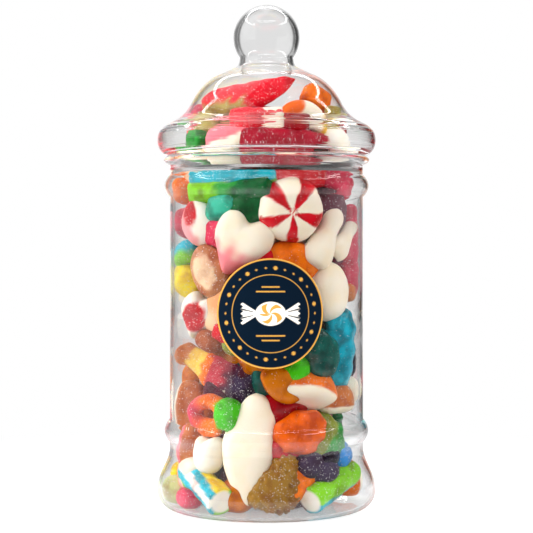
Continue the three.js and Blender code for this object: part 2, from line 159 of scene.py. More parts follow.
class Nodes:
    """A short way to add and join the nodes of a material or a world."""

    def __init__(self, owner):
        owner.use_nodes = True
        self.owner = owner
        self.tree = owner.node_tree
        self.tree.nodes.clear()

    def add(self, kind, inputs=None, **settings):
        """A node of a kind, with its inputs set or joined and its settings made."""
        node = self.tree.nodes.new(kind)
        for key, value in settings.items():
            setattr(node, key, value)
        for key, value in (inputs or {}).items():
            if isinstance(value, bpy.types.NodeSocket):
                self.tree.links.new(value, node.inputs[key])
            else:
                node.inputs[key].default_value = value
        return node

    def math(self, operation, a, b=0.0):
        return self.add("ShaderNodeMath", {0: a, 1: b}, operation=operation).outputs[0]

    def mix(self, share, a, b, blend_type="MIX"):
        """A mix of two colours."""
        inputs = {0: share, 6: a, 7: b}
        return self.add("ShaderNodeMix", inputs, data_type="RGBA", blend_type=blend_type).outputs[2]

    def mix_numbers(self, share, a, b):
        return self.add("ShaderNodeMix", {0: share, 2: a, 3: b}, data_type="FLOAT").outputs[0]

    def spread(self, value, low, high, to_low=0.0, to_high=1.0):
        """A soft step from to_low, where the value is low, to to_high, where it is high."""
        inputs = {"Value": value, "From Min": low, "From Max": high, "To Min": to_low, "To Max": to_high}
        return self.add("ShaderNodeMapRange", inputs, interpolation_type="SMOOTHSTEP").outputs[0]

    def noise(self, place, size_mm, detail=2.0):
        """Noise whose lumps are about size_mm across."""
        inputs = {"Vector": place, "Scale": 1000 / size_mm, "Detail": detail, "Roughness": 0.5}
        return self.add("ShaderNodeTexNoise", inputs).outputs["Fac"]

    def cells(self, place, size_mm):
        """Random cells about size_mm across."""
        return self.add("ShaderNodeTexVoronoi", {"Vector": place, "Scale": 1000 / size_mm}, feature="F1").outputs

    def axes(self, vector):
        return self.add("ShaderNodeSeparateXYZ", {0: vector}).outputs

    def place(self):
        return self.add("ShaderNodeTexCoord").outputs["Object"]

    def tint(self):
        """The colour that the mesh's points carry."""
        return self.add("ShaderNodeAttribute", attribute_name="tint").outputs["Color"]

    def bump(self, height, distance_mm, strength=1.0):
        inputs = {"Height": height, "Distance": distance_mm * MM, "Strength": strength}
        return self.add("ShaderNodeBump", inputs).outputs[0]

    def finish(self, shader):
        self.add("ShaderNodeOutputMaterial", {"Surface": shader.outputs[0]})
        return self.owner

    def principled(self, inputs):
        return self.finish(self.add("ShaderNodeBsdfPrincipled", inputs))


def new_material(name):
    return Nodes(bpy.data.materials.new(name))


def sugared_material():
    """Jelly under fine sugar, which lies thicker in patches, with painted glints: small pure white dots standing in
    for the sugar's sparkle.
    """
    n = new_material("sugared_jelly")
    place, tint = n.place(), n.tint()
    dark = n.mix(1.0, tint, (0.7, 0.5, 0.5, 1), "MULTIPLY")
    jelly = n.mix(n.spread(n.noise(place, 7, 3), 0.42, 0.72), tint, dark)
    crystals = n.spread(n.cells(place, 0.6)["Distance"], 0.16, 0.34, 1, 0)
    coverage = n.spread(n.noise(place, 4, 3), 0.42, 0.68, 0.03, 0.5)
    frosted = n.mix(n.math("MULTIPLY", crystals, coverage), jelly, n.mix(0.6, tint, (1.0, 0.95, 0.94, 1)))
    # Painted highlights: tiny dots turned pure white, as glints of light on the sugar.
    painted_glints = n.spread(n.cells(place, 1.1)["Distance"], 0.16, 0.24, 0.85, 0)
    painted_glints = n.math("MULTIPLY", painted_glints, n.spread(n.noise(place, 3), 0.4, 0.6))
    height = n.math("ADD", n.math("MULTIPLY", crystals, 0.6), n.noise(place, 1.4, 3))
    height = n.math("ADD", height, n.math("MULTIPLY", painted_glints, 0.6))
    return n.principled({
        "Base Color": n.mix(painted_glints, frosted, (1, 1, 1, 1)),
        "Roughness": n.spread(crystals, 0, 1, 0.42, 0.22),
        "Subsurface Weight": 0.25,
        "Subsurface Radius": (1.0, 0.5, 0.4),
        "Subsurface Scale": 0.0022,
        "Specular IOR Level": 0.3,
        "Normal": n.bump(height, 0.26, 0.8),
    })


def soft_material(name, shade, patches, specks, white, gloss, light, shine, bumps):
    """Foam or bare jelly: its colour, with patches of a shade of it and specks of sugar. Each tuple starts with
    its noise's size in millimetres, but light holds how far each colour of light goes in, and the scale of that."""
    n = new_material(name)
    place, tint = n.place(), n.tint()
    shaded = n.mix(1.0, tint, (*shade, 1), "MULTIPLY")
    patched = n.mix(n.spread(n.noise(place, patches[0], 3), *patches[1:]), tint, shaded)
    specked = n.spread(n.noise(place, specks[0]), *specks[1:3], 0, specks[3])
    return n.principled({
        "Base Color": n.mix(specked, patched, (*white, 1)),
        "Roughness": n.spread(n.noise(place, gloss[0]), 0.3, 0.7, *gloss[1:]),
        "Subsurface Weight": 0.3,
        "Subsurface Radius": light[0],
        "Subsurface Scale": light[1],
        "Specular IOR Level": shine,
        "Normal": n.bump(n.noise(place, *bumps[:2]), *bumps[2:]),
    })


def foam_material():
    """Whipped foam: matt and creamy, with faint warm patches and a trace of dust."""
    return soft_material(
        "foam", shade=(1.0, 0.95, 0.85), patches=(9, 0.4, 0.75), specks=(0.7, 0.64, 0.72, 0.25),
        white=(1.0, 0.985, 0.96), gloss=(5, 0.4, 0.58), light=((1.0, 0.6, 0.42), 0.002), shine=0.35,
        bumps=(1.1, 4, 0.14, 0.6),
    )


def glossy_material():
    """Bare jelly: glossy, cloudy in its depth, with a few grains of sugar."""
    return soft_material(
        "clear_jelly", shade=(0.6, 0.42, 0.42), patches=(6, 0.38, 0.7), specks=(0.8, 0.68, 0.75, 0.4),
        white=(1.0, 0.97, 0.95), gloss=(3, 0.1, 0.25), light=((1.0, 0.5, 0.4), 0.003), shine=0.5,
        bumps=(2.6, 3, 0.35, 0.6),
    )


def crystal_material():
    n = new_material("sugar_crystal")
    return n.principled({
        "Base Color": n.mix(n.noise(n.place(), 1.5, 1), (1.0, 0.97, 0.94, 1), (0.9, 0.86, 0.84, 1)),
        "Roughness": 0.18,
        "Alpha": 0.75,
    })


def core_material():
    """The middle of the heap, in patches of the sweets' colours darkened with painted shade, darkest at the
    patches' edges as in the gaps between sweets.
    """
    n = new_material("deep_sweets")
    place = n.place()
    cells = n.cells(place, 15)
    number = n.add("ShaderNodeSeparateColor", {0: cells["Color"]}).outputs[0]
    ramp = n.add("ShaderNodeValToRGB", {"Fac": number})
    elements = ramp.color_ramp.elements
    ramp.color_ramp.interpolation = "CONSTANT"
    while len(elements) < len(CORE_TONES):
        elements.new(0.5)
    for i, name in enumerate(CORE_TONES):
        elements[i].position = i / len(CORE_TONES)
        elements[i].color = (*(CORE_PAINTED_SHADE * colour(name)), 1)
    # Painted shade: near black towards the cells' edges, as in the shadowed gaps between sweets.
    painted_gap_shade = n.spread(cells["Distance"], 0.35, 0.75, 1, 0.25)
    return n.principled({
        "Base Color": n.mix(painted_gap_shade, (0.05, 0.01, 0.01, 1), ramp.outputs[0]),
        "Roughness": 0.5,
        "Normal": n.bump(n.noise(place, 3, 3), 0.5, 0.7),
    })


def clear_plastic(name):
    """Clear moulded plastic, which lets lamps through and has faint ripples; its colour darkens where it is seen
    edge on, painted shade that draws its edges dark.
    """
    n = new_material(name)
    place = n.place()
    # Painted shade: grey where the surface is seen edge on, for the dark lines along the plastic's edges.
    edge = n.add("ShaderNodeLayerWeight", {"Blend": 0.25}).outputs["Facing"]
    tint = n.mix(n.spread(edge, 0.5, 0.98), (1, 1, 1, 1), (0.7, 0.7, 0.72, 1))
    # Moulding lines run round the rim.
    flat = n.add("ShaderNodeVectorMath", {0: place, 1: (0.03, 0.03, 1)}, operation="MULTIPLY").outputs[0]
    up = n.axes(place)["Z"]
    rim = n.math("MULTIPLY", n.spread(up, 0.1505, 0.1525), n.spread(up, 0.176, 0.179, 1, 0))
    lines = n.math("MULTIPLY", n.noise(flat, 2.6), n.math("MULTIPLY", rim, 10.0))
    ripple = n.math("ADD", n.noise(place, 16), lines)
    glass = n.add("ShaderNodeBsdfPrincipled", {
        "Base Color": tint,
        "Roughness": n.spread(n.noise(place, 2.2, 4), 0.6, 0.8, 0.012, 0.05),
        "IOR": 1.46,
        "Transmission Weight": 1.0,
        "Normal": n.bump(ripple, 0.6, 0.12),
    })
    # Shadow rays and rays caught between the walls go straight through.
    through = n.add("ShaderNodeBsdfTransparent", {"Color": (1, 1, 1, 1)})
    path = n.add("ShaderNodeLightPath").outputs
    crossed = n.math("GREATER_THAN", path["Transmission Depth"], 5.5)
    trapped = n.math("GREATER_THAN", path["Glossy Depth"], 1.5)
    bare = n.math("MAXIMUM", path["Is Shadow Ray"], n.math("MAXIMUM", crossed, trapped))
    return n.finish(n.add("ShaderNodeMixShader", {0: bare, 1: glass.outputs[0], 2: through.outputs[0]}))


def label_material():
    """Printed paper: the print's colours with a fine grain."""
    n = new_material("label_print")
    place = n.place()
    grain = n.spread(n.noise(place, 0.5, 3), 0.3, 0.7, 0.94, 1.06)
    grey = n.add("ShaderNodeCombineColor", {0: grain, 1: grain, 2: grain}).outputs[0]
    return n.principled({
        "Base Color": n.mix(1.0, n.tint(), grey, "MULTIPLY"),
        "Roughness": n.spread(n.noise(place, 6, 3), 0.3, 0.7, 0.5, 0.62),
        "Specular IOR Level": 0.05,
        "Normal": n.bump(n.noise(place, 0.9, 3), 0.03, 0.5),
    })


# ---- Meshes

def add_object(name, data):
    item = bpy.data.objects.new(name, data)
    bpy.context.scene.collection.objects.link(item)
    return item


def mesh_object(name, points, faces, materials, tint=None, slots=None, smooth_faces=True):
    mesh = bpy.data.meshes.new(name)
    mesh.from_pydata((np.asarray(points) * MM).tolist(), [], faces)
    for material in materials:
        mesh.materials.append(material)
    if slots is not None:
        mesh.polygons.foreach_set("material_index", np.asarray(slots, np.int32))
    mesh.polygons.foreach_set("use_smooth", np.full(len(faces), smooth_faces))
    if tint is not None:
        layer = mesh.color_attributes.new("tint", "FLOAT_COLOR", "POINT")
        values = np.ones((len(points), 4), np.float32)
        values[:, :3] = tint
        layer.data.foreach_set("color", values.ravel())
    mesh.validate()
    return add_object(name, mesh)


def outward(points, faces):
    """A closed mesh, with its faces turned to the outside."""
    volume = 0.0
    for count in (3, 4):
        some = np.array([f for f in faces if len(f) == count])
        if len(some):
            a, b, c = points[some[:, 0]], points[some[:, 1]], points[some[:, 2]]
            volume += np.einsum("ij,ij->", a, np.cross(b, c))
            if count == 4:
                volume += np.einsum("ij,ij->", a, np.cross(c, points[some[:, 3]]))
    if volume < 0:
        faces = [face[::-1] for face in faces]
    return points, faces


def skin(point, rings, sides):
    """A closed skin of rings of points between two end points."""
    along = np.repeat(np.arange(1, rings) / rings, sides)
    around = np.tile(np.arange(sides) * TAU / sides, rings - 1)
    zero, one = np.zeros(1), np.ones(1)
    points = np.vstack([point(zero, zero), point(along, around), point(one, zero)])
    last = len(points) - 1

    def at(ring, side):
        return 1 + (ring - 1) * sides + side % sides

    faces = []
    for side in range(sides):
        faces.append((0, at(1, side), at(1, side + 1)))
        faces.append((last, at(rings - 1, side + 1), at(rings - 1, side)))
        for ring in range(1, rings - 1):
            faces.append((at(ring, side), at(ring + 1, side), at(ring + 1, side + 1), at(ring, side + 1)))
    return outward(points, faces)


def turned(profile, sides=ROUND_SIDES):
    """A closed profile of radius and height turned about z; it starts and ends on the axis, or where it starts."""
    angles = np.arange(sides) * TAU / sides
    points, rows = [], []
    for radius, height in np.asarray(profile, float):
        if radius < ON_AXIS:
            rows.append([len(points)] * (sides + 1))
            points.append((0, 0, height))
        else:
            rows.append([len(points) + side % sides for side in range(sides + 1)])
            points += [(radius * math.sin(a), -radius * math.cos(a), height) for a in angles]
    if rows[0][0] != rows[0][1]:
        rows.append(rows[0])
    faces = []
    for low, high in zip(rows, rows[1:]):
        for side in range(sides):
            corners = dict.fromkeys([low[side], low[side + 1], high[side + 1], high[side]])
            if len(corners) > 2:
                faces.append(tuple(corners))
    return outward(np.array(points), faces)


# ---- The jar and the lid

def arched_ring(ring, base, steps):
    across = np.linspace(-1, 1, steps + 1)
    return np.column_stack([base + ring.swell * (1 - across ** 2), ring.height + ring.half * across])


def foot_curve(steps):
    turn = np.linspace(0, math.pi / 2, steps + 1)
    out = np.sin(turn) ** (2 / FOOT.power)
    down = np.clip(np.cos(turn), 0, 1) ** (2 / FOOT.power)
    return np.column_stack([FOOT.outer + (BULGE.radius - FOOT.outer) * out, BULGE.height * (1 - down)])


def flare_curve(steps):
    along = np.arange(1, steps + 1) / steps
    swell = (BULGE.radius - BODY_RADIUS) * (0.5 + 0.5 * np.cos(math.pi * along))
    return np.column_stack([BODY_RADIUS + swell, BULGE.height + (FLARE_TOP - BULGE.height) * along])


def spline(points, steps):
    """A smooth curve through the points, with so many steps between each two."""
    points = np.asarray(points, float)
    padded = np.vstack([points[0], points, points[-1]])
    share = np.linspace(0, 1, steps, endpoint=False)[:, None]
    runs = []
    for p0, p1, p2, p3 in zip(padded, padded[1:], padded[2:], padded[3:]):
        v0, v1 = (p2 - p0) / 2, (p3 - p1) / 2
        cubic = (2 * p1 - 2 * p2 + v0 + v1) * share ** 3
        square = (3 * p2 - 3 * p1 - 2 * v0 - v1) * share ** 2
        runs.append(cubic + square + v0 * share + p1)
    return np.vstack([*runs, points[-1:]])


def offset(points, distance):
    """The points moved sideways by a distance, to the left of the way they run."""
    before = np.vstack([points[:1], points[:-1]])
    after = np.vstack([points[1:], points[-1:]])
    run = after - before
    run /= np.linalg.norm(run, axis=1)[:, None]
    return points + distance * np.column_stack([-run[:, 1], run[:, 0]])


def knob_arc(radius, neck_radius, steps):
    start = math.pi - math.asin(neck_radius / radius)
    angle = start * (1 - np.arange(steps + 1) / steps)
    arc = np.column_stack([radius * np.sin(angle), KNOB.height + radius * np.cos(angle)])
    arc[-1, 0] = 0
    return arc


UNDERSIDE = np.array([(0, FOOT.rise), (20, FOOT.rise), (27, 1.8), (32, 0.9), (FOOT.inner, 0)])


def jar_side(steps):
    """The jar's outside from the middle of its underside up to its shoulder ring."""
    return np.vstack([
        UNDERSIDE, foot_curve(3 * steps), flare_curve(3 * steps),
        arched_ring(LOW_RING, BODY_RADIUS, 3 * steps), arched_ring(SHOULDER_RING, BODY_RADIUS, 3 * steps),
    ])


def jar_profile():
    side = jar_side(4)
    inside = offset(side, JAR_WALL)
    inside[0, 0] = 0
    lip = arched_ring(LIP_RING, BODY_RADIUS, 10)[:-1]
    mouth = [(LIP_EDGE_RADIUS, LIP_TOP), (BODY_RADIUS - JAR_WALL, LIP_TOP)]
    return np.vstack([side, lip, mouth, inside[::-1]])


def lid_bend(steps):
    bend = spline(LID_BEND_POINTS, steps)
    bend[:, 0] = np.minimum(bend[:, 0], BULGE.radius)
    return bend


def lid_profile():
    bend = lid_bend(4)
    inner = offset(bend, LID_WALL)
    shelf = [(SKIRT.inner + 3, SKIRT.shelf), (SKIRT.inner, SKIRT.shelf),
             (SKIRT.inner, SKIRT.bottom), (SKIRT.outer, SKIRT.bottom), (SKIRT.outer, LID_BASE)]
    return np.vstack([
        bend, knob_arc(KNOB.radius, NECK_RADIUS, 24),
        knob_arc(KNOB.radius - LID_WALL, NECK_RADIUS - LID_WALL, 20)[::-1],
        inner[inner[:, 1] > SKIRT.shelf + 1][::-1], shelf,
    ])


def room_profile():
    """The room inside, as heights going up and the radius at each."""
    jar = offset(jar_side(2)[4:], JAR_WALL + SWEET_GAP)
    jar = jar[jar[:, 1] < SKIRT.bottom - 1]
    neck = SKIRT.inner - SWEET_GAP
    dome = offset(lid_bend(2), LID_WALL + SWEET_GAP)
    dome = dome[(dome[:, 0] < neck) & (dome[:, 1] > SKIRT.shelf)]
    return np.vstack([jar, [(neck, SKIRT.bottom - 1)], dome])


# ---- Forms of sweets
# Each sweet faces -Y: x runs to its right, z up and y into it. A form gives its closed skins, and its half width
# and half height, which its colours are laid out by.

def oval(a):
    return np.sin(a), np.cos(a)


def egg_shape(a):
    return np.sin(a) * (1 - 0.16 * np.cos(a)), np.cos(a)


def block_shape(a):
    size = (np.abs(np.sin(a)) ** 4 + np.abs(np.cos(a)) ** 4) ** -0.25
    return size * np.sin(a), size * np.cos(a)


def heart_shape(a):
    """A rounded heart: its height is a sum of waves, scaled to run from about -1 to 1."""
    height = 12.5 * np.cos(a) - 3.2 * np.cos(2 * a) - 1.3 * np.cos(3 * a) - 0.4 * np.cos(4 * a)
    return np.sin(a) * (0.4 + 0.6 * np.sin(a) ** 2), (height + 2.3) / 12.5


def tooth_shape(a):
    corner = np.where(np.cos(a) > 0, 4, 2.2)
    size = (np.abs(np.sin(a)) ** corner + np.abs(np.cos(a)) ** corner) ** (-1 / corner)
    notch = 1 - 0.28 * np.exp(-(1 - np.cos(a)) / 0.08)
    return size * np.sin(a), size * np.cos(a) * notch


def fan_shape(a):
    ridges = 1 + 0.035 * np.cos(9 * a) * (0.6 + 0.4 * np.cos(a))
    return ridges * np.sin(a) * (1 + 0.15 * np.cos(a)), ridges * np.cos(a)


def shell_shape(a):
    scallop = 1 + 0.07 * np.cos(9 * a)
    return scallop * np.sin(a), scallop * np.cos(a)


def pillow(wide, tall, thick, outline, front_share=FRONT_SHARE, fine=1.0):
    """A moulded sweet: an outline that swells to the front and, less, to the back."""
    def point(along, around):
        away = 1 - np.abs(2 * along - 1)
        tilt = np.sign(along - 0.5) * (1 - away ** 1.5) * math.pi / 2
        reach = np.clip(np.cos(tilt), 0, 1) ** EDGE_POWER
        share = np.where(tilt > 0, front_share, 1 - front_share)
        x, z = outline(around)
        return np.column_stack([x * reach * wide / 2, -np.sin(tilt) * share * thick, z * reach * tall / 2])

    rings = 2 * max(5, round(fine * 12))
    return skin(point, rings, max(16, round(fine * 56)))


def along_z(curve, long, sides):
    """A skin of ovals along z: rows of (share of its length, half width, half depth, shift to the right)."""
    def point(along, around):
        share, wide, deep, shift = curve[np.round(along * (len(curve) - 1)).astype(int)].T
        return np.column_stack([shift + wide * np.sin(around), -deep * np.cos(around), (share - 0.5) * long])

    return skin(point, len(curve) - 1, sides)


def roll(long, stations, fine=1.0):
    """A long sweet through stations, whose shift may be left out."""
    curve = spline([(*station, 0)[:4] for station in stations], max(2, round(fine * 5)))
    curve[:, 1:3] = np.maximum(curve[:, 1:3], 0)
    return along_z(curve, long, max(14, round(fine * 32)))


def cut_roll(long, half, bend=0.0, fine=1.0):
    """A roll of one thickness, with flat ends whose rims are slightly rounded."""
    soft = 0.5
    ends = [(0, 0), (0, 0.35 * half), (0, 0.7 * half), (0, half - soft), (0.006, half - 0.15), (0.014, half)]
    middle = [(share, half) for share in np.linspace(0.08, 0.92, max(4, round(fine * 16)))]
    share, wide = np.array(ends + middle + [(1 - share, wide) for share, wide in reversed(ends)]).T
    curve = np.column_stack([share, wide, wide, bend * np.sin(math.pi * share)])
    return along_z(curve, long, max(16, round(fine * 40)))


def hoop(wide, tall, half, fine=1.0):
    """An oval hoop in the plane that faces the front."""
    sides, tube = max(24, round(fine * 60)), max(10, round(fine * 24))
    turn = np.repeat(np.arange(sides) * TAU / sides, tube)
    around = np.tile(np.arange(tube) * TAU / tube, sides)
    reach = half * np.cos(around)
    points = np.column_stack([(wide + reach) * np.sin(turn), half * np.sin(around), (tall + reach) * np.cos(turn)])
    faces = []
    for i in range(sides):
        here, there = i * tube, (i + 1) % sides * tube
        for j in range(tube):
            after = (j + 1) % tube
            faces.append((here + j, there + j, there + after, here + after))
    return outward(points, faces)


def moved(part, x, y, z, turn=0.0):
    points, faces = part
    return turn_about(points, "y", turn) + np.array([x, y, z]), faces


def turn_about(points, axis, degrees):
    c, s = math.cos(math.radians(degrees)), math.sin(math.radians(degrees))
    matrix = {
        "x": [[1, 0, 0], [0, c, -s], [0, s, c]],
        "y": [[c, 0, s], [0, 1, 0], [-s, 0, c]],
        "z": [[c, -s, 0], [s, c, 0], [0, 0, 1]],
    }[axis]
    return points @ np.array(matrix).T


# Moulded sweets: width, height, thickness, outline, fineness and, where it isn't the usual one, the front's share.
PILLOWS = {
    "heart": (27, 29, 13, heart_shape, 1.3),
    "smallHeart": (18, 21, 11, heart_shape, 1.1),
    "egg": (20, 27, 14, egg_shape, 1.1),
    "ball": (17, 17, 13, oval, 1.0),
    "dome": (25, 17, 15, oval, 1.2, 0.3),
    "block": (17, 13, 11, block_shape, 1.0),
    "tooth": (14, 18, 11, tooth_shape, 1.0),
    "shell": (19, 17, 11, shell_shape, 1.3),
    "fan": (24, 18, 11, fan_shape, 1.4),
    "berry": (17, 13, 12, oval, 1.0),
}

# Long sweets: half width, length, fineness, stations.
ROLLS = {
    "bottle": (9, 42, 1.3, [
        (0, 0, 0), (0.03, 6.5, 4), (0.12, 8.6, 5.4), (0.45, 9, 5.8), (0.6, 8, 5.4), (0.72, 5.2, 4.4),
        (0.82, 4.2, 3.8), (0.94, 4.5, 4), (1, 0, 0),
    ]),
    "drop": (11.5, 50, 1.3, [
        (0, 0, 0, -1), (0.04, 2.6, 2.4, -1), (0.15, 6.2, 4.6, -0.6), (0.31, 10, 6.4, -0.6), (0.47, 11.4, 6.8, -0.6),
        (0.63, 11.2, 6.8), (0.79, 9.2, 6.2, 2), (0.9, 6.6, 5, 2.8), (0.97, 3.6, 3.2, 2.8), (1, 0, 0, 2.8),
    ]),
    "bone": (7.4, 28, 1.0, [
        (0, 0, 0), (0.04, 4.8, 4), (0.18, 7.4, 5.6), (0.38, 6.2, 5.2), (0.62, 4.2, 4.2), (0.84, 4.6, 4.4),
        (0.96, 3, 3), (1, 0, 0),
    ]),
    "worm": (4.6, 44, 1.0, [
        (0, 0, 0), (0.03, 3.4, 3.2), (0.2, 4.6, 4.4, 1), (0.4, 4.6, 4.4, 0.4), (0.6, 4.6, 4.4, -1),
        (0.8, 4.6, 4.4, -0.4), (0.97, 3.4, 3.2), (1, 0, 0),
    ]),
    "strawberry": (8, 42, 1.4, [
        (0, 0, 0), (0.04, 5, 4.4), (0.2, 8, 6.4, 1.2), (0.45, 7.6, 6.4, 1.6), (0.7, 5.4, 5, 1), (0.9, 3, 3),
        (1, 0, 0),
    ]),
    "crescent": (4.6, 22, 1.0, [
        (0, 0, 0, 2), (0.08, 2.8, 3, 1.6), (0.35, 4.4, 4, -0.6), (0.65, 4.4, 4, -0.6), (0.92, 2.6, 3, 1.6),
        (1, 0, 0, 2),
    ]),
    "lump": (10.5, 27, 1.8, [
        (0, 0, 0, -1), (0.06, 7.5, 4.6, -1), (0.24, 10.5, 6.6, -0.5), (0.48, 9.6, 7, 0.4), (0.7, 7, 6, 1.4),
        (0.88, 4.8, 4.4, 1.6), (1, 0, 0, 1.6),
    ]),
}
DOLPHIN_BODY = [
    (0, 0, 0), (0.04, 4.6, 3.6), (0.25, 7.4, 5.4, 0), (0.5, 7.8, 5.8, 0.5), (0.75, 8.4, 6, 0.5),
    (0.93, 4.6, 4.2, 2), (1, 0, 0, 2),
]
DOLPHIN_FIN = [(0, 0, 0), (0.15, 3.4, 3.4), (0.6, 3.6, 3.4), (0.9, 2.4, 2.6), (1, 0, 0)]


# Each sweet's half width, its half height, and a function that makes its skins at a fineness f.

def pillow_form(wide, tall, thick, outline, fine, front_share=FRONT_SHARE):
    return wide / 2, tall / 2, lambda f: [pillow(wide, tall, thick, outline, front_share, fine * f)]


def roll_form(half_wide, long, fine, stations):
    return half_wide, long / 2, lambda f: [roll(long, stations, fine * f)]


def limb(wide, tall, thick, f, *place):
    return moved(pillow(wide, tall, thick, oval, fine=f), *place)


FORMS = {name: pillow_form(*sizes) for name, sizes in PILLOWS.items()}
FORMS.update({name: roll_form(*sizes) for name, sizes in ROLLS.items()})
FORMS.update({
    "pinwheel": (14.2, 14.2, lambda f: [pillow(28.5, 28.5, 12, oval, fine=1.8 * f)]),
    "pencil": (ROPE_HALF, 14.5, lambda f: [cut_roll(29, ROPE_HALF, 0, f)]),
    "longPencil": (ROPE_HALF, 22.5, lambda f: [cut_roll(45, ROPE_HALF, 1.5, f)]),
    "dummy": (16.7, 11.1, lambda f: [
        hoop(8, 5.6, 3.5, f), moved(pillow(11.5, 14.5, 11, oval, 0.5, fine=f), 11.5, 0, 1),
    ]),
    "dolphin": (7.4, 17.5, lambda f: [
        roll(35, DOLPHIN_BODY, f), moved(roll(15, DOLPHIN_FIN, f), -5.5, 0, 11, -28),
    ]),
    "bear": (8.5, 14, lambda f: [
        pillow(13, 18, 11, oval, fine=f), limb(11, 10, 10, f, 0, 0, 11.5),
        limb(6.5, 9, 9, f, 5.6, -1, -7.5, -20), limb(6.5, 9, 9, f, -5.6, -1, -7.5, 20),
    ]),
})


# ---- How a sweet is coloured
# Each pattern takes the points laid out from -1 to 1 across and up, the points in millimetres, its colours and
# an uneven value from -1 to 1, and gives each point's colour and whether it is of the second material.

def plain(u, w, points, tones, rough):
    return np.tile(tones[0], (len(u), 1)), np.zeros(len(u))


def fade(u, w, points, tones, rough):
    """The first colour at the top and the second at the bottom."""
    share = smooth(-0.5, 0.15, w + 0.15 * rough)
    return blend(tones[1], tones[0], share), np.zeros(len(u))


def split(u, w, points, tones, rough):
    """The first colour on the right and the second on the left."""
    share = smooth(-0.12, 0.12, u + 0.3 * w + 0.12 * rough)
    return blend(tones[1], tones[0], share), np.zeros(len(u))


def faced(u, w, points, tones, rough):
    """A foam face in front of a jelly back."""
    share = smooth(-1.5, -1.0, points[:, 1] + 0.2 * rough)
    return blend(tones[0], tones[1], share), (share > 0.5).astype(float)


def blotched(u, w, points, tones, rough):
    """Foam with the second colour down its left side and a blot of the third at the top left."""
    side = 1 - smooth(-0.35, 0.05, u + 0.12 * rough)
    blot = 1 - smooth(0.3, 0.45, np.hypot(u + 0.2, 0.7 * (w - 0.42)) + 0.06 * rough)
    tint = blend(blend(tones[0], tones[1], 0.75 * side), tones[2], blot)
    return tint, (blot > 0.5).astype(float)


def cored(u, w, points, tones, rough):
    """The second colour in the middle of the front."""
    share = smooth(0.56, 0.7, np.hypot(u, w) + 0.08 * rough)
    share = np.where(points[:, 1] > 0.5, 1, share)
    return blend(tones[1], tones[0], share), (share < 0.5).astype(float)


def wheel(u, w, points, tones, rough):
    """Five petals of the first colour, with the second between them."""
    right, up = u + 0.1, w + 0.13
    reach = np.hypot(right, up)
    petals = np.cos(5 * np.arctan2(right, up)) + 0.2 + 0.25 * rough
    petals = petals + 0.35 * smooth(0.5, 0.85, reach) - 0.3 * reach ** 4
    share = smooth(-0.14, 0.14, petals)
    share = share * (1 - 0.8 * smooth(1.5, 4.5, points[:, 1]))
    return blend(tones[1], tones[0], share), (share < 0.5).astype(float)


def banded(u, w, points, tones, rough):
    """The colours one after another from the bottom to the top."""
    place = np.clip((w + 1) / 2 + 0.03 * rough, 0, 0.9999) * len(tones)
    low = np.minimum(place.astype(int), len(tones) - 1)
    high = np.minimum(low + 1, len(tones) - 1)
    share = smooth(0.72, 1.0, place - low)
    table = np.array(tones)
    return table[low] * (1 - share[:, None]) + table[high] * share[:, None], np.zeros(len(u))


def striped(u, w, points, tones, rough):
    """Stripes along a roll, of all colours but the last, which is the core that shows at the cut ends."""
    stripes = np.array(tones[:-1])
    angle = (np.arctan2(points[:, 0], -points[:, 1]) / TAU - 0.06 * w) * len(stripes) + 0.08 * rough
    low = np.floor(angle).astype(int)
    share = smooth(0.88, 1.0, angle - low)[:, None]
    skin_tone = stripes[low % len(stripes)] * (1 - share) + stripes[(low + 1) % len(stripes)] * share
    reach = np.hypot(points[:, 0], points[:, 1])
    inside = (np.abs(w) > 0.985) & (reach < ROPE_CORE)
    return np.where(inside[:, None], tones[-1], skin_tone), inside.astype(float)


def hooped(u, w, points, tones, rough):
    """A dummy: the hoop fades from the first colour on the left to the second, and the knob has the third."""
    share = smooth(-0.55, 0.1, u + 0.1 * rough)
    hoop_tone = blend(tones[0], tones[1], share)
    knob = smooth(0.34, 0.5, u + 0.06 * rough)[:, None]
    return hoop_tone * (1 - knob) + tones[2] * knob, np.zeros(len(u))


def leafy(u, w, points, tones, rough):
    """The second colour on the right side of the lower end."""
    end = 1 - smooth(-0.42, -0.22, w + 0.3 * rough)
    return blend(tones[0], tones[1], end * smooth(-0.3, 0.15, u + 0.25 * rough)), np.zeros(len(u))


PATTERNS = {
    pattern.__name__: pattern
    for pattern in (plain, fade, split, faced, blotched, cored, wheel, banded, striped, hooped, leafy)
}

# The finishes: a slot, and the height and width of the lumps. A look names one or, as in foam_sugar, two, where the
# second is for the points that the pattern marks.
FINISHES = {"foam": (0, 0.3, 9), "sugar": (1, 0.5, 6), "gloss": (2, 0.7, 7), "rough": (1, 0.9, 2.6)}


# ---- Where the sweets lie
# Form, degrees round the jar (0 at the front, + to the right), height, turn clockwise, lean of its top to the
# outside, swing, depth behind the wall and size, then the look: a finish, a pattern and its colours from the
# lower end up or from the front round, where name*3 is a colour three times. Each is pressed out to the wall
# less its depth.

